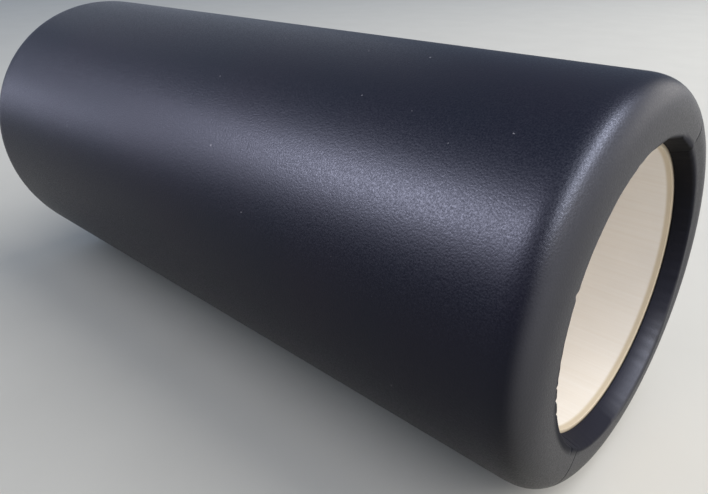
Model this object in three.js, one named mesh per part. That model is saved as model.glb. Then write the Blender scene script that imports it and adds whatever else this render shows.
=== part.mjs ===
// A foam roller for massage and stretching, lying on its side.
// Millimetres, +Z up. The roller's axis runs along X, and the origin is on the floor below its middle.
// Two pieces make it: an extruded plastic core tube, and a foam body moulded round that tube.
// The foam wraps both cut ends of the tube with a short lip, so the tube can't work its way out.

import * as THREE from 'three';

// Driving sizes.
const ROLLER_LENGTH = 336;
const ROLLER_DIAMETER = 140;
const SHOULDER_RADIUS = 14;
const END_RING_MIN = 2;
const LIP_DEPTH = 7.4;
const LIP_OVERLAP = 2.5;
const LIP_FLARE = 3.3;
const TUBE_BORE = 98;
const TUBE_WALL = 3.5;
const SEAT_GAP = 0.3;

// How finely the round shapes are divided.
const SIDES_AROUND = 96;
const SHOULDER_STEPS = 8;

// The tube, and where the foam meets it. Each lip covers part of the tube's cut end.
const tubeInner = TUBE_BORE / 2;
const tubeOuter = tubeInner + TUBE_WALL;
const seatRadius = tubeOuter + SEAT_GAP;
const lipRadius = tubeOuter - LIP_OVERLAP;
const mouthRadius = lipRadius + LIP_FLARE;
const seatHalfLength = ROLLER_LENGTH / 2 - LIP_DEPTH;
const tubeHalfLength = seatHalfLength - SEAT_GAP;

// The shoulder is limited by the foam's thickness, so a flat ring is always left at the mouth.
const foamWall = ROLLER_DIAMETER / 2 - mouthRadius;
const shoulderRadius = Math.min(SHOULDER_RADIUS, foamWall - END_RING_MIN);

// A profile holds the points of one closed section, as radius and distance along the axis.
// Turning it by half a side first puts a flat facet, and not an edge, on the floor.
function turned(profile) {
  const halfSide = Math.PI / SIDES_AROUND;
  const closed = [...profile, profile[0].clone()];
  const geometry = new THREE.LatheGeometry(closed, SIDES_AROUND, halfSide, 2 * Math.PI);
  geometry.rotateZ(-Math.PI / 2);
  return geometry;
}

// The rounded shoulder between the end face and the side, as a quarter circle.
// It runs from the angle `from` to the angle `to`, measured from the axis direction of that end.
function shoulder(end, from, to) {
  const centreRadius = ROLLER_DIAMETER / 2 - shoulderRadius;
  const centreAlong = ROLLER_LENGTH / 2 - shoulderRadius;
  const points = [];
  for (let step = 0; step <= SHOULDER_STEPS; step += 1) {
    const angle = from + (to - from) * step / SHOULDER_STEPS;
    const radius = centreRadius + shoulderRadius * Math.sin(angle);
    const along = centreAlong + shoulderRadius * Math.cos(angle);
    points.push(new THREE.Vector2(radius, end * along));
  }
  return points;
}

// Foam body: side, shoulders, flat end rings, tapered lips, and the seat that holds the tube.
const foamProfile = [
  new THREE.Vector2(seatRadius, -seatHalfLength),
  new THREE.Vector2(lipRadius, -seatHalfLength),
  new THREE.Vector2(mouthRadius, -ROLLER_LENGTH / 2),
  ...shoulder(-1, 0, Math.PI / 2),
  ...shoulder(1, Math.PI / 2, 0),
  new THREE.Vector2(mouthRadius, ROLLER_LENGTH / 2),
  new THREE.Vector2(lipRadius, seatHalfLength),
  new THREE.Vector2(seatRadius, seatHalfLength),
];
const foamMaterial = new THREE.MeshStandardMaterial({
  color: 0x24262b,
  roughness: 0.55,
  metalness: 0,
});
const foamBody = new THREE.Mesh(turned(foamProfile), foamMaterial);
foamBody.name = 'foam_body';

// Core tube: a plain length of pipe with square cut ends.
const tubeProfile = [
  new THREE.Vector2(tubeInner, -tubeHalfLength),
  new THREE.Vector2(tubeOuter, -tubeHalfLength),
  new THREE.Vector2(tubeOuter, tubeHalfLength),
  new THREE.Vector2(tubeInner, tubeHalfLength),
];
const tubeMaterial = new THREE.MeshStandardMaterial({
  color: 0xd8cdb8,
  roughness: 0.45,
  metalness: 0,
});
const coreTube = new THREE.Mesh(turned(tubeProfile), tubeMaterial);
coreTube.name = 'core_tube';

// The lowest facet of the foam rests on the floor, at half its diameter less the facet's sag.
const roller = new THREE.Group();
roller.add(foamBody, coreTube);
roller.position.z = ROLLER_DIAMETER / 2 * Math.cos(Math.PI / SIDES_AROUND);

const group = new THREE.Group();
group.add(roller);

export default group;
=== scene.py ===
# %% [markdown]
# # A foam roller, modelled and finished in Blender
# The roller is two parts. A length of ivory plastic pipe is the core, and a thick foam body is
# moulded round it. The foam's outside is a closed skin, pressed against a finely grained steel
# mould while it rises, so the piece comes out with a satin grain and needs no cover.
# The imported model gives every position, so the first cell loads it and keeps its box.

import math

import bmesh
import bpy
from mathutils import Matrix, Vector, noise


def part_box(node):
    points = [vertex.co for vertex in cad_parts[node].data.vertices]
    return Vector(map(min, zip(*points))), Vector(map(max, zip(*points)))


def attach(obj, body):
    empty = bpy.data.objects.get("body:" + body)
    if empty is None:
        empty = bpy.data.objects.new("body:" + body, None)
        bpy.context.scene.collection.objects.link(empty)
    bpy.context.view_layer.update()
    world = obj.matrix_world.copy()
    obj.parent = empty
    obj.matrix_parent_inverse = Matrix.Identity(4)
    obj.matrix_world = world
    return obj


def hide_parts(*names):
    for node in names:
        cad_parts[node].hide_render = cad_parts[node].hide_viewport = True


MM = 0.001

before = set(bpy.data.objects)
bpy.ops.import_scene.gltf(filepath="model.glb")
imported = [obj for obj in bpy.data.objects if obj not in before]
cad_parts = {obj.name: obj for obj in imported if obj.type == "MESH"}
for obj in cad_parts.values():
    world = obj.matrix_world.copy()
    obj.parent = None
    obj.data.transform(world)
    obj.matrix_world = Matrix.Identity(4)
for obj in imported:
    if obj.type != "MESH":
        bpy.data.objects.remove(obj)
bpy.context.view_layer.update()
foam_low, foam_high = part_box("foam_body")
pipe_low, pipe_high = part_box("core_tube")
axis_height = (foam_low.z + foam_high.z) / 2
half_length = (foam_high.x - foam_low.x) / 2
body_radius = (foam_high.y - foam_low.y) / 2
print("roller:", round(2 * half_length / MM, 1), "mm long")
print("roller:", round(2 * body_radius / MM, 1), "mm across")

# %% [markdown]
# ## The camera
# The near end of the roller is the one at +X. The camera stands close to that end, in front of it
# and above it, so the near end looks much larger than the far one. It's placed from the centre of
# the near face. A small sideways shift frames the whole roller without turning the camera.

# %% Camera
CAMERA_FROM_NEAR_FACE = Vector((0.0512, -0.1695, 0.1054))
CAMERA_FORWARD = Vector((-0.5510, 0.6871, -0.4736))
CAMERA_LENS = 30.5
CAMERA_SENSOR = 36
CAMERA_SHIFT = (-0.1106, 0.0082)
CAMERA_NEAREST = 0.01

near_face_centre = Vector((foam_high.x, 0, axis_height))
camera_data = bpy.data.cameras.new("camera")
camera_data.lens = CAMERA_LENS
camera_data.sensor_width = CAMERA_SENSOR
camera_data.shift_x, camera_data.shift_y = CAMERA_SHIFT
camera_data.clip_start = CAMERA_NEAREST
camera = bpy.data.objects.new("camera", camera_data)
camera.location = near_face_centre + CAMERA_FROM_NEAR_FACE
camera.rotation_euler = CAMERA_FORWARD.to_track_quat("-Z", "Y").to_euler()
bpy.context.scene.collection.objects.link(camera)
bpy.context.scene.camera = camera
print("camera at", tuple(round(v, 3) for v in camera.location))

# %% [markdown]
# ## Turning a section round the axis
# Both parts are bodies of revolution, as their mould and their extrusion die make them. The same
# thing could be done with a Screw modifier, but here the section's corners have to be rounded
# first. So a section is a ring of a few vertices joined by edges. Bevelling one vertex of a bare
# ring gives a clean arc, and one full spin round the X axis then makes the closed solid.

# %% Spin a section
AXIS_POINT = Vector((0, 0, axis_height))
MERGE_DISTANCE = 0.001 * MM


def spin_section(corners, steps, start_angle):
    """Each corner is (along, radius, rounding, segments). Angles run from +Y towards +Z."""
    bm = bmesh.new()
    out_y, out_z = math.cos(math.radians(start_angle)), math.sin(math.radians(start_angle))
    ring = [bm.verts.new((along, r * out_y, axis_height + r * out_z)) for along, r, _, _ in corners]
    for i, vert in enumerate(ring):
        bm.edges.new((vert, ring[(i + 1) % len(ring)]))
    for vert, (_, _, rounding, segments) in zip(ring, corners):
        if rounding:
            bmesh.ops.bevel(
                bm,
                geom=[vert],
                offset=rounding,
                offset_type="OFFSET",
                segments=segments,
                profile=0.5,
                affect="VERTICES",
                material=-1,
            )
    bmesh.ops.spin(
        bm,
        geom=bm.verts[:] + bm.edges[:],
        cent=AXIS_POINT,
        axis=(1, 0, 0),
        angle=2 * math.pi,
        steps=steps,
        use_merge=True,
    )
    bmesh.ops.remove_doubles(bm, verts=bm.verts, dist=MERGE_DISTANCE)
    bmesh.ops.recalc_face_normals(bm, faces=bm.faces)
    return bm


print("the axis lies", round(axis_height / MM, 2), "mm above the floor")

# %% [markdown]
# ## Both ends, and a finished piece
# The two ends of the roller are alike, so a section is written for one end and mirrored. A
# finished piece's object sits at the origin and its place is in its mesh, like a node of the
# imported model.

# %% Mirror a section and finish a piece
def both_ends(corners):
    """The corners of one end, then their mirror images, in the order of the ring."""
    mirrored = [(-corner[0], *corner[1:]) for corner in corners]
    return corners + mirrored[::-1]


def finish_piece(bm, name):
    mesh = bpy.data.meshes.new(name)
    bm.to_mesh(mesh)
    bm.free()
    mesh.shade_smooth()
    piece = bpy.data.objects.new(name, mesh)
    bpy.context.scene.collection.objects.link(piece)
    print(name, "has", sum(len(p.vertices) - 2 for p in mesh.polygons), "triangles")
    return piece


print("a section of 2 corners mirrors to", len(both_ends([(1, 1, 0, 1), (1, 0, 0, 1)])))

# %% [markdown]
# ## The foam body
# The mould closes round the pipe and leaves a wide rounded shoulder at each end. Foam also flows
# past the pipe's cut ends, and a tapered plug stops it there, which leaves a short lip that narrows
# inwards and holds the pipe. The section has four corners at each end: the shoulder, the mouth, the
# inner edge of the lip and the seat of the pipe.
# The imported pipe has 96 flat sides and its box reaches only their middles, so its true radius is a
# little more than half the box. The spin starts half a step to one side of the mould's parting
# line, so that the line runs down the middle of a strip of faces on both sides of the roller.

# %% Foam body blank
STEPS_AROUND = 540
PARTING_ANGLE = 53.5  # degrees, from +Y towards +Z
SHOULDER_ROUND, SHOULDER_SEGMENTS = 16.0 * MM, 22
MOUTH_RADIUS = 52.6 * MM
MOUTH_ROUND, MOUTH_SEGMENTS = 1.0 * MM, 5
LIP_RADIUS = 50.0 * MM
LIP_DEPTH = 7.4 * MM
LIP_EDGE_ROUND, LIP_EDGE_SEGMENTS = 0.35 * MM, 2
SEAT_GAP = 0.3 * MM
SKIN_CLEARANCE = 0.02 * MM
FACETS_OF_CAD = 96

pipe_radius = (pipe_high.y - pipe_low.y) / 2 / math.cos(math.pi / FACETS_OF_CAD)
outer_radius = body_radius - SKIN_CLEARANCE
lip_end = half_length - LIP_DEPTH

foam_end = [
    (half_length, outer_radius, SHOULDER_ROUND, SHOULDER_SEGMENTS),
    (half_length, MOUTH_RADIUS, MOUTH_ROUND, MOUTH_SEGMENTS),
    (lip_end, LIP_RADIUS, LIP_EDGE_ROUND, LIP_EDGE_SEGMENTS),
    (lip_end, pipe_radius + SEAT_GAP, 0, 1),
]
foam = spin_section(both_ends(foam_end), STEPS_AROUND, PARTING_ANGLE + 180 / STEPS_AROUND)
print("foam blank has", len(foam.verts), "points")
print("the pipe's radius is", round(pipe_radius / MM, 2), "mm")

# %% [markdown]
# ## A fuller shoulder
# A plain arc looks too round beside the real shoulder, which bulges a little at its corner and is
# shorter along the roller than across it. A bevel with another profile could do this too. Here each
# point of the arc is moved out onto a superellipse, and the arc is then shortened along X.

# %% Shape the shoulders
SHOULDER_POWER = 2.8
SHOULDER_LENGTH = 14.6 * MM
TOUCHING = 0.01 * MM


def radius_of(vert):
    return math.hypot(vert.co.y, vert.co.z - axis_height)


def angle_of(vert):
    return math.degrees(math.atan2(vert.co.z - axis_height, vert.co.y)) % 360


def place_at(vert, back, radius):
    """Moves a point to a distance back from its own end and a distance from the axis."""
    stretch = radius / radius_of(vert)
    vert.co.x = math.copysign(half_length - back, vert.co.x)
    vert.co.y *= stretch
    vert.co.z = axis_height + (vert.co.z - axis_height) * stretch


for vert in foam.verts:
    ahead = abs(vert.co.x) - (half_length - SHOULDER_ROUND)
    above = radius_of(vert) - (outer_radius - SHOULDER_ROUND)
    if ahead < -TOUCHING or above < -TOUCHING:
        continue
    arc = math.atan2(above, ahead)
    lengthwise, crosswise = abs(math.cos(arc)), abs(math.sin(arc))
    full = (lengthwise**SHOULDER_POWER + crosswise**SHOULDER_POWER) ** (-1 / SHOULDER_POWER)
    back = SHOULDER_LENGTH * (1 - full * math.cos(arc))
    place_at(vert, back, outer_radius - SHOULDER_ROUND * (1 - full * math.sin(arc)))
print("shoulder:", SHOULDER_LENGTH / MM, "mm along and", SHOULDER_ROUND / MM, "mm across")

# %% [markdown]
# ## A mouth that is not quite true
# Foam shrinks as it cures, so a moulded mouth is never a perfect circle. It comes out oval, wider
# across the parting line than along it. On one half the rim sank a little, which leaves a small
# corner where the halves meet. Just past that corner the flash tore off the near mouth in short
# straight lines, and a few nicks show where the plug was pulled out. The edge wanders as well, a
# little over every 3 degrees and twice as much over every 17.
# Angles are in degrees, and a nick is its angle and its width.

# %% How the mouth strays
MOUTH_OVAL = 1.1 * MM
MOUTH_WIDE_ANGLE = 122
RIM_SINK = 0.9 * MM
SINK_FROM, SINK_FULL, SINK_END = -60, 0, 2.5
FLASH_TEARS = ((56, 73), (73, 87), (87, 101))
NICKS = ((152.5, 0.9), (182, 0.7), (187.5, 1.0), (194, 0.7))
NICK_DEPTH = 0.35 * MM
EDGE_WANDER = 0.22 * MM
FINE_WANDER, BROAD_WANDER = 3.0, 17.0
BROAD_SHARE, BROAD_SLICE = 2, 9


def ease(value, low, high):
    t = min(max((value - low) / (high - low), 0), 1)
    return t * t * (3 - 2 * t)


def signed_angle(angle, middle):
    return (angle - middle + 180) % 360 - 180


def rim_sink(angle):
    """How far the rim has sunk: it grows round one half and ends at the parting line."""
    turn = signed_angle(angle, 0)
    sunk = ease(turn, SINK_FROM, SINK_FULL)
    return RIM_SINK * sunk * (1 - ease(turn, PARTING_ANGLE, PARTING_ANGLE + SINK_END))


def rim_spread(angle, seed):
    """How far the mouth's edge lies outside its mean circle."""
    spread = MOUTH_OVAL * math.cos(math.radians(2 * (angle - MOUTH_WIDE_ANGLE)))
    fine = noise.noise(Vector((seed, angle / FINE_WANDER, 0)))
    broad = noise.noise(Vector((seed, angle / BROAD_WANDER, BROAD_SLICE)))
    spread += EDGE_WANDER * fine
    spread += EDGE_WANDER * BROAD_SHARE * broad
    for start, end in FLASH_TEARS:
        if start < angle < end:
            half = math.radians((end - start) / 2)
            off_middle = math.radians(angle - (start + end) / 2)
            spread += MOUTH_RADIUS * (math.cos(half) / math.cos(off_middle) - 1)
    return spread


def nick(angle):
    """Depth of the nicks at this angle."""
    dips = (math.exp(-((signed_angle(angle, at) / width) ** 2)) for at, width in NICKS)
    return NICK_DEPTH * sum(dips)


print("the rim sinks", round(rim_sink(SINK_FULL) / MM, 2), "mm at most")

# %% [markdown]
# Each effect is a small move of the rim that fades out over the shoulder, and the lip's inner edge
# stays true, clear of the pipe. The half that didn't sink keeps a crisper edge. The far end takes
# the same moves turned round the axis, with another seed, but no torn flash.

# %% Shape the mouth
RIM_FADE = 6 * MM
EDGE_FADE = 0.6 * MM
RIM_REACH = 1.3  # roundings back from the rim, past which the lip is left true
CRISP_HALF = 0.55
NEAR_SEED, FAR_SEED = 0, 5
FAR_TURN = 140

moved = 0
mouth_corner = MOUTH_RADIUS + MOUTH_ROUND
for vert in foam.verts:
    back, radius = half_length - abs(vert.co.x), radius_of(vert)
    behind_rim = back > MOUTH_ROUND * RIM_REACH and radius < mouth_corner
    if behind_rim or radius > mouth_corner + RIM_FADE:
        continue
    seed, turn = (NEAR_SEED, 0) if vert.co.x > 0 else (FAR_SEED, FAR_TURN)
    angle = angle_of(vert) + turn
    weight = 1 - ease(radius, mouth_corner, mouth_corner + RIM_FADE)
    if radius < mouth_corner and signed_angle(angle, PARTING_ANGLE) > 0:
        back -= back * CRISP_HALF
        radius += (MOUTH_RADIUS - radius) * CRISP_HALF
    edge = 1 - ease(radius, MOUTH_RADIUS, mouth_corner + EDGE_FADE)
    back += weight * rim_sink(angle) + edge * nick(angle)
    radius += weight * rim_spread(angle, seed) + edge * nick(angle)
    place_at(vert, back, radius)
    moved += 1
print("moved", moved, "points of the two mouths")

# %% [markdown]
# ## The parting line
# The two halves of the mould meet in a plane through the axis. Foam creeps a little way in between
# them, and when this flash is trimmed a fine groove is left along the body, over the shoulders and
# across both mouths. One cut down the middle of the strip adds the points that become the bottom of
# the groove.

# %% Cut along the parting line
parting_slope = math.radians(PARTING_ANGLE)
parting_normal = Vector((0, -math.sin(parting_slope), math.cos(parting_slope)))

bmesh.ops.bisect_plane(
    foam,
    geom=foam.verts[:] + foam.edges[:] + foam.faces[:],
    dist=MERGE_DISTANCE,
    plane_co=AXIS_POINT,
    plane_no=parting_normal,
)
print("after the cut the foam has", len(foam.verts), "points")

# %% [markdown]
# The bottom of the groove is pushed in, and its points carry a value of 1 that the skin's material
# reads for painted shade and dullness. Two more values do the same for the rounded ends, which get a
# painted sheen, and for the lip, which the plug shaped.

# %% Press the groove and mark the skin
GROOVE_DEPTH = 0.3 * MM
SHEEN_END_FROM, SHEEN_END_FULL = 7 * MM, 2 * MM

parting = foam.verts.layers.float.new("parting")
painted_sheen_end = foam.verts.layers.float.new("painted_sheen_end")
plug_side = foam.verts.layers.float.new("plug_side")
foam.normal_update()
# The value on the rounded ends marks where the skin's material paints a sheen.
for vert in foam.verts:
    on_end = ease(abs(vert.co.x), half_length - SHEEN_END_FROM, half_length - SHEEN_END_FULL)
    off_lip = ease(radius_of(vert), MOUTH_RADIUS, MOUTH_RADIUS + MOUTH_ROUND)
    vert[painted_sheen_end] = on_end * off_lip
    vert[plug_side] = 1 - off_lip
groove = [v for v in foam.verts if abs((v.co - AXIS_POINT).dot(parting_normal)) < TOUCHING]
for vert in groove:
    vert[parting] = 1.0
    vert.co -= vert.normal * GROOVE_DEPTH
print("parting line has", len(groove), "points")

# %% [markdown]
# ## A pinhole
# A gas bubble that burst against the mould left one pinhole at the near mouth, beside the parting
# line. The few points within its radius are pushed in along their normals, deepest at its centre,
# and they take the parting line's painted shade as well.

# %% Pinhole
PINHOLE_ANGLE = 227
PINHOLE_RADIUS = 0.9 * MM
PINHOLE_DEPTH = 1.0 * MM
PINHOLE_OUT, PINHOLE_BACK = 0.35 * MM, 0.1 * MM
DARK_BY, DEEP_BY = 0.5, 0.8  # shares of the way in from its edge

pinhole_reach = MOUTH_RADIUS + rim_spread(PINHOLE_ANGLE, NEAR_SEED) + PINHOLE_OUT
pinhole_at = Vector(
    (
        half_length - PINHOLE_BACK,
        pinhole_reach * math.cos(math.radians(PINHOLE_ANGLE)),
        axis_height + pinhole_reach * math.sin(math.radians(PINHOLE_ANGLE)),
    )
)
foam.normal_update()
pitted = [v for v in foam.verts if (v.co - pinhole_at).length < PINHOLE_RADIUS]
for vert in pitted:
    near = 1 - (vert.co - pinhole_at).length / PINHOLE_RADIUS
    # The parting value paints shade into the pit.
    vert[parting] = max(vert[parting], ease(near, 0, DARK_BY))
    vert.co -= vert.normal * PINHOLE_DEPTH * ease(near, 0, DEEP_BY)
foam_piece = finish_piece(foam, "foam_skin")
print("pinhole has", len(pitted), "points")

# %% [markdown]
# ## The core pipe
# The core is a length of extruded pipe, cut square with a saw. Only its bore and a narrow ring of
# each cut end can be seen past the lip. The cut's inner edge is taken off with a small rounding. It
# is spun like the foam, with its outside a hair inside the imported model's.

# %% Core pipe
PIPE_STEPS = 256
PIPE_BORE_RADIUS = 49.0 * MM
DEBURRED_EDGE, DEBURRED_SEGMENTS = 0.4 * MM, 2
PIPE_CLEARANCE = 0.05 * MM
pipe_half = (pipe_high.x - pipe_low.x) / 2

pipe_end = [
    (pipe_half, pipe_radius - PIPE_CLEARANCE, 0, 1),
    (pipe_half, PIPE_BORE_RADIUS, DEBURRED_EDGE, DEBURRED_SEGMENTS),
]
pipe_piece = finish_piece(spin_section(both_ends(pipe_end), PIPE_STEPS, 0), "core_pipe")
print("pipe is", round(2 * pipe_half / MM, 1), "mm long")
print("its bore is", 2 * PIPE_BORE_RADIUS / MM, "mm across")

# %% [markdown]
# ## Colours and sizes for materials
# A colour is picked as it looks on a screen, but the shader works with linear light, so one
# function turns a hex value into linear numbers. A pattern's scale is cells per metre, so another
# works it out from the real size in millimetres.

# %% Colour and scale helpers
def linear(hex_colour):
    """An sRGB hex colour as linear red, green, blue and alpha, by the sRGB standard's curve."""
    parts = [int(hex_colour[i : i + 2], 16) / 255 for i in (1, 3, 5)]
    curved = [c / 12.92 if c <= 0.04045 else ((c + 0.055) / 1.055) ** 2.4 for c in parts]
    return (*curved, 1.0)


def per_metre(size_mm):
    return 1 / (size_mm * MM)


print("middle grey #808080 is", round(linear("#808080")[0], 3), "in linear light")

# %% [markdown]
# ## Adding nodes
# One function adds a node with its settings and links. A Mix node keeps separate sockets for
# numbers and for colours, and some share a name, so they're given by number: 0 is the factor, 2
# and 3 are its numbers and 6 and 7 its colours. It gives out a number at 0 and a colour at 2.

# %% Material helpers
def add(tree, kind, settings=None, links=None):
    """Adds a node. A setting is a property or the value of a socket, and a link feeds a socket."""
    node = tree.nodes.new(kind)
    for key, value in (settings or {}).items():
        if isinstance(key, int) or key in node.inputs:
            node.inputs[key].default_value = value
        else:
            setattr(node, key, value)
    for key, source in (links or {}).items():
        tree.links.new(source, node.inputs[key])
    return node


def new_material(name, settings):
    """A material whose shader has these values, with its node tree and its shader."""
    material = bpy.data.materials.new(name)
    material.use_nodes = True
    shader = material.node_tree.nodes["Principled BSDF"]
    for key, value in settings.items():
        shader.inputs[key].default_value = value
    print("new material", name)
    return material, material.node_tree, shader


# %% [markdown]
# ## The foam's skin
# Integral skin polyurethane foam is nearly black and satin. Pigment and mould release never spread
# evenly, so the black drifts between navy and plum over some 50 mm.

# %% Foam skin: colour
DRIFT_MM = 50
NAVY_BLACK, PLUM_BLACK = "#030509", "#070509"

skin, tree, shader = new_material(
    "integral_skin_polyurethane_foam",
    {"IOR": 1.45, "Specular IOR Level": 0.15},
)
place = add(tree, "ShaderNodeTexCoord").outputs["Object"]
drift = add(
    tree,
    "ShaderNodeTexNoise",
    {"Scale": per_metre(DRIFT_MM), "Detail": 2.0},
    {"Vector": place},
)
pigment = add(
    tree,
    "ShaderNodeMix",
    {"data_type": "RGBA", 6: linear(NAVY_BLACK), 7: linear(PLUM_BLACK)},
    {"Factor": drift.outputs["Fac"]},
)
print("the black drifts over", DRIFT_MM, "mm")

# %% [markdown]
# The mould's blasted steel leaves a fine pebble grain of about 0.7 mm with a grit of 0.5 mm over
# it, which breaks a highlight into specks. A softer unevenness of some 6 mm comes from the foam's
# bubbles under the skin.

# %% Foam skin: grain
PEBBLE_MM = 0.7
GRIT_MM = 0.5
BUBBLE_MM = 6

pebbles = add(
    tree,
    "ShaderNodeTexVoronoi",
    {"feature": "SMOOTH_F1", "Scale": per_metre(PEBBLE_MM), "Smoothness": 0.4},
    {"Vector": place},
)
grit = add(
    tree,
    "ShaderNodeTexNoise",
    {"Scale": per_metre(GRIT_MM), "Detail": 2.0},
    {"Vector": place},
)
bubbles = add(
    tree,
    "ShaderNodeTexNoise",
    {"Scale": per_metre(BUBBLE_MM), "Detail": 2.0},
    {"Vector": place},
)
print("grain of", PEBBLE_MM, "mm is", round(per_metre(PEBBLE_MM)), "cells to the metre")

# %% [markdown]
# The grain, the grit and the soft unevenness are three Bump nodes in a row, each with its own
# depth. The grit also varies the gloss from speck to speck, because its tops are rubbed dull and
# its hollows keep the gloss of the mould.

# %% Foam skin: relief and gloss
UNEVEN_DEPTH = 0.02 * MM
GRAIN_DEPTH = 0.055 * MM
GLOSSIEST, DULLEST = 0.31, 0.49

uneven = add(
    tree,
    "ShaderNodeBump",
    {"Strength": 0.5, "Distance": UNEVEN_DEPTH},
    {"Height": bubbles.outputs["Fac"]},
)
grained = add(
    tree,
    "ShaderNodeBump",
    {"Strength": 0.5, "Distance": GRAIN_DEPTH, "invert": True},
    {"Height": pebbles.outputs["Distance"], "Normal": uneven.outputs["Normal"]},
)
gritty = add(
    tree,
    "ShaderNodeBump",
    {"Strength": 0.5, "Distance": GRAIN_DEPTH},
    {"Height": grit.outputs["Fac"], "Normal": grained.outputs["Normal"]},
)
gloss = add(
    tree,
    "ShaderNodeMapRange",
    {"From Min": 0.3, "From Max": 0.7, "To Min": GLOSSIEST, "To Max": DULLEST},
    {"Value": grit.outputs["Fac"]},
)
tree.links.new(gritty.outputs["Normal"], shader.inputs["Normal"])
print("roughness runs from", GLOSSIEST, "to", DULLEST)

# %% [markdown]
# Specks of dust sit on the skin: a noise of about 1.6 mm shows only where it peaks. The rounded
# ends are given a greyer colour than the body, a painted sheen that stands in for the bright
# surroundings they mirror. The parting line's groove and the pinhole get painted shade: they are
# darker than the skin, and a multiplier makes their dark value reach a little up the sides.

# %% Foam skin: dust, painted sheen on the ends, painted shade in the groove
DUST_MM = 1.6
DUST_FROM, DUST_FULL = 0.90, 0.96
# The ends' grey is a painted sheen and the groove's black is painted shade.
DUST_GREY, PAINTED_SHEEN_GREY, GROOVE_SHADE_BLACK = "#4c4a47", "#262524", "#030304"
GROOVE_SPREAD = 1.7

line = add(tree, "ShaderNodeAttribute", {"attribute_name": "parting"})
shadow = add(
    tree,
    "ShaderNodeMath",
    {"operation": "MULTIPLY", "use_clamp": True, 1: GROOVE_SPREAD},
    {0: line.outputs["Fac"]},
)
dust = add(
    tree,
    "ShaderNodeTexNoise",
    {"Scale": per_metre(DUST_MM), "Detail": 0.0},
    {"Vector": place},
)
specks = add(
    tree,
    "ShaderNodeMapRange",
    {"From Min": DUST_FROM, "From Max": DUST_FULL},
    {"Value": dust.outputs["Fac"]},
)
dusted = add(
    tree,
    "ShaderNodeMix",
    {"data_type": "RGBA", 7: linear(DUST_GREY)},
    {"Factor": specks.outputs["Result"], 6: pigment.outputs[2]},
)
# Painted sheen: the rounded ends are mixed towards a lighter grey.
end_sheen_mask = add(tree, "ShaderNodeAttribute", {"attribute_name": "painted_sheen_end"})
sheen_painted = add(
    tree,
    "ShaderNodeMix",
    {"data_type": "RGBA", 7: linear(PAINTED_SHEEN_GREY)},
    {"Factor": end_sheen_mask.outputs["Fac"], 6: dusted.outputs[2]},
)
# Painted shade darkens the groove and the pinhole.
groove_shaded = add(
    tree,
    "ShaderNodeMix",
    {"data_type": "RGBA", 7: linear(GROOVE_SHADE_BLACK)},
    {"Factor": shadow.outputs["Value"], 6: sheen_painted.outputs[2]},
)
tree.links.new(groove_shaded.outputs[2], shader.inputs["Base Color"])
print("dust is the peaks of a noise of", DUST_MM, "mm")

# %% [markdown]
# The lip is duller than the body, since the plug that shaped it was left unpolished, and the groove
# and the pinhole are duller still.

# %% Foam skin: dull lip and groove
LIP_ROUGHNESS, GROOVE_ROUGHNESS = 0.75, 0.95

lip = add(tree, "ShaderNodeAttribute", {"attribute_name": "plug_side"})
lip_dulled = add(
    tree,
    "ShaderNodeMix",
    {"data_type": "FLOAT", 3: LIP_ROUGHNESS},
    {"Factor": lip.outputs["Fac"], 2: gloss.outputs["Result"]},
)
groove_dulled = add(
    tree,
    "ShaderNodeMix",
    {"data_type": "FLOAT", 3: GROOVE_ROUGHNESS},
    {"Factor": shadow.outputs["Value"], 2: lip_dulled.outputs[0]},
)
tree.links.new(groove_dulled.outputs[0], shader.inputs["Roughness"])
foam_piece.data.materials.append(skin)
print(skin.name, "has", len(tree.nodes), "nodes")

# %% [markdown]
# ## The pipe's plastic
# Unpainted PVC pipe is ivory with a soft gloss. The die that it was drawn through leaves faint
# lines along its length, a millimetre or so apart, so that noise is stretched along X with a
# Mapping node. Handling leaves faint stains some 30 mm across.

# %% Ivory pipe: die lines and stains
DIE_LINE_MM = 1.2
LINE_STRETCH = 0.02
STAIN_MM, STAIN_STRENGTH = 30, 0.12
IVORY_DARK, IVORY_LIGHT = "#ebe2d7", "#f4eee7"

ivory, tree, shader = new_material("extruded_ivory_pvc", {"IOR": 1.53})
place = add(tree, "ShaderNodeTexCoord").outputs["Object"]
drawn = add(tree, "ShaderNodeMapping", {"Scale": (LINE_STRETCH, 1.0, 1.0)}, {"Vector": place})
die_lines = add(
    tree,
    "ShaderNodeTexNoise",
    {"Scale": per_metre(DIE_LINE_MM), "Detail": 2.0},
    {"Vector": drawn.outputs["Vector"]},
)
stains = add(
    tree,
    "ShaderNodeTexNoise",
    {"Scale": per_metre(STAIN_MM), "Detail": 3.0},
    {"Vector": place},
)
streaky = add(
    tree,
    "ShaderNodeMix",
    {"data_type": "RGBA", 6: linear(IVORY_DARK), 7: linear(IVORY_LIGHT)},
    {"Factor": die_lines.outputs["Fac"]},
)
stained = add(
    tree,
    "ShaderNodeMix",
    {"data_type": "RGBA", "blend_type": "MULTIPLY", 0: STAIN_STRENGTH},
    {6: streaky.outputs[2], 7: stains.outputs["Fac"]},
)
print("die lines", round(per_metre(DIE_LINE_MM)), "to the metre round the bore")

# %% [markdown]
# A tan band of painted shade lies beside each cut, where the foam lip shades the bore. It is full
# for about 1.6 mm and has faded out by 2.6 mm. The distance along the pipe without its sign serves
# both ends. The die lines are felt as a faint relief, and the stains vary the gloss.

# %% Ivory pipe: painted shade at the cut ends
BAND_WIDTH, BAND_FULL = 2.6 * MM, 0.6
LIP_SHADE_TAN = "#c9baa2"
SCORE_DEPTH = 0.05 * MM

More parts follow.
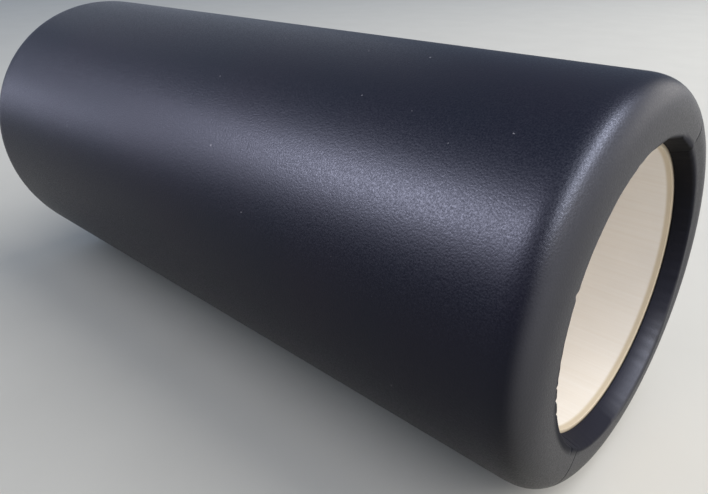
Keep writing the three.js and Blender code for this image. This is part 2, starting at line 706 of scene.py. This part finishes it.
along = add(tree, "ShaderNodeSeparateXYZ", {}, {"Vector": place})
reach = add(tree, "ShaderNodeMath", {"operation": "ABSOLUTE"}, {0: along.outputs["X"]})
# The band of painted shade beside each cut, where the lip shades the bore.
lip_shade_band = add(
    tree,
    "ShaderNodeMapRange",
    {"From Min": pipe_half - BAND_WIDTH, "From Max": pipe_half - BAND_WIDTH * BAND_FULL},
    {"Value": reach.outputs["Value"]},
)
lip_shaded = add(
    tree,
    "ShaderNodeMix",
    {"data_type": "RGBA", 7: linear(LIP_SHADE_TAN)},
    {"Factor": lip_shade_band.outputs["Result"], 6: stained.outputs[2]},
)
scored = add(
    tree,
    "ShaderNodeBump",
    {"Strength": 0.2, "Distance": SCORE_DEPTH},
    {"Height": die_lines.outputs["Fac"]},
)
sheen = add(
    tree,
    "ShaderNodeMapRange",
    {"To Min": 0.34, "To Max": 0.52},
    {"Value": stains.outputs["Fac"]},
)
tree.links.new(lip_shaded.outputs[2], shader.inputs["Base Color"])
tree.links.new(scored.outputs["Normal"], shader.inputs["Normal"])
tree.links.new(sheen.outputs["Result"], shader.inputs["Roughness"])
pipe_piece.data.materials.append(ivory)
print(ivory.name, "has", len(tree.nodes), "nodes")

# %% [markdown]
# ## Floor
# The roller lies on a plain pale floor of matt painted board. A faint mottling keeps it from
# looking like an empty page.

# %% Floor
FLOOR_HALF = 12.0
MOTTLE_MM = 60

floor_mesh = bpy.data.meshes.new("floor")
bm = bmesh.new()
bmesh.ops.create_grid(bm, x_segments=1, y_segments=1, size=FLOOR_HALF)
bmesh.ops.translate(bm, verts=bm.verts, vec=(0, 0, foam_low.z))
bm.to_mesh(floor_mesh)
bm.free()
floor = bpy.data.objects.new("floor", floor_mesh)
bpy.context.scene.collection.objects.link(floor)

board, tree, shader = new_material("matt_painted_board", {"Roughness": 0.9})
place = add(tree, "ShaderNodeTexCoord").outputs["Object"]
mottling = add(
    tree,
    "ShaderNodeTexNoise",
    {"Scale": per_metre(MOTTLE_MM), "Detail": 4.0},
    {"Vector": place},
)
paint = add(
    tree,
    "ShaderNodeMix",
    {"data_type": "RGBA", 6: linear("#cfccc6"), 7: linear("#d8d5cf")},
    {"Factor": mottling.outputs["Fac"]},
)
tree.links.new(paint.outputs[2], shader.inputs["Base Color"])
floor_mesh.materials.append(board)
print("floor is", 2 * FLOOR_HALF, "m square at height", round(foam_low.z / MM, 3), "mm")

# %% [markdown]
# ## Surroundings
# Pale blue surroundings light the whole scene softly. A studio would keep some lamps off the floor
# with black cards, so that the flank, which mirrors the floor, stays dark. Light linking does the
# same here: a lamp may be given a collection, and it then lights nothing else.

# %% Surroundings and light linking
world = bpy.data.worlds.new("studio")
world.use_nodes = True
background = world.node_tree.nodes["Background"]
background.inputs["Color"].default_value = linear("#b0c2da")
background.inputs["Strength"].default_value = 0.55
bpy.context.scene.world = world
bpy.context.scene.view_settings.view_transform = "Standard"

foam_only = bpy.data.collections.new("foam_only")
foam_only.objects.link(foam_piece)
all_but_foam = bpy.data.collections.new("all_but_foam")
all_but_foam.objects.link(pipe_piece)
all_but_foam.objects.link(floor)

# %% [markdown]
# ## A softbox
# A rectangular area light stands for a softbox. It faces its target, and its first side lies along
# a given direction, because a long box drawn along the roller gives a long highlight.

# %% Softbox helper
def softbox(name, position, target, size, power, colour, along=(1, 0, 0), lights=None):
    """A rectangular area light. Its first side lies along the given direction."""
    facing = (Vector(position) - Vector(target)).normalized()
    first = (Vector(along) - facing * facing.dot(Vector(along))).normalized()
    data = bpy.data.lights.new(name, "AREA")
    data.shape = "RECTANGLE"
    data.size, data.size_y = size
    data.energy = power
    data.color = linear(colour)[:3]
    lamp = bpy.data.objects.new(name, data)
    lamp.location = position
    lamp.rotation_euler = Matrix((first, facing.cross(first), facing)).transposed().to_euler()
    lamp.light_linking.receiver_collection = lights
    bpy.context.scene.collection.objects.link(lamp)
    print(name, power, "W")


# %% [markdown]
# ## Lamps on the foam
# A satin black body is read by its highlights. A long cool softbox in front, to the left and above,
# with its long side along the roller, draws the broad violet-grey band down the body, and a weaker
# one beyond the far end carries the band on. A narrow one across the near end draws the streak over
# the shoulder. Panels behind give the top edge and the end ring a quiet sheen.

# %% Lamps on the foam
BAND_COLOUR = "#dfe2ff"
ALONG_BODY = (1, 0, 0.2)
BODY_MIDDLE = (-0.1, 0, 0.07)

softbox(
    "long_strip",
    position=(-0.72, -1.0, 1.07),
    target=BODY_MIDDLE,
    size=(1.0, 0.38),
    power=82,
    colour=BAND_COLOUR,
    along=ALONG_BODY,
    lights=foam_only,
)
softbox(
    "far_strip",
    position=(-2.0, -1.05, 0.62),
    target=BODY_MIDDLE,
    size=(1.6, 0.38),
    power=7.0,
    colour=BAND_COLOUR,
    along=ALONG_BODY,
    lights=foam_only,
)
softbox(
    "cross_strip",
    position=(0.62, -0.06, 1.0),
    target=(0.16, -0.04, 0.12),
    size=(1.3, 0.20),
    power=62,
    colour="#e0e6ff",
    along=(-0.3, 1, 0),
    lights=foam_only,
)
softbox(
    "sky_panel",
    position=(-2.0, 1.0, 0.95),
    target=(-0.1, 0, 0.1),
    size=(1.6, 1.6),
    power=3.6,
    colour="#e6eaf4",
    lights=foam_only,
)
softbox(
    "rear_panel",
    position=(0.9, 1.6, 0.55),
    target=(0.16, 0, 0.07),
    size=(1.6, 0.8),
    power=9.5,
    colour="#fff8ee",
    lights=foam_only,
)

# %% [markdown]
# ## Lamps on the floor and the bore
# One broad lamp from behind lights the floor and the pipe but not the foam, and a soft fill on
# everything looks into the mouth.

# %% Lamps on the floor and the bore
softbox(
    "back_light",
    position=(1.2, 1.3, 1.4),
    target=(0.5, 0.6, 0),
    size=(2.6, 2.6),
    power=60,
    colour="#fffcf6",
    lights=all_but_foam,
)
softbox(
    "mouth_fill",
    position=(1.15, -0.5, 1.0),
    target=(0.16, 0, 0.06),
    size=(0.9, 0.9),
    power=9.0,
    colour="#fff9f0",
)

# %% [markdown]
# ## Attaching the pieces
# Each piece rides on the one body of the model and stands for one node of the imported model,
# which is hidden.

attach(foam_piece, "root")
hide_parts("foam_body")
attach(pipe_piece, "root")
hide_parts("core_tube")
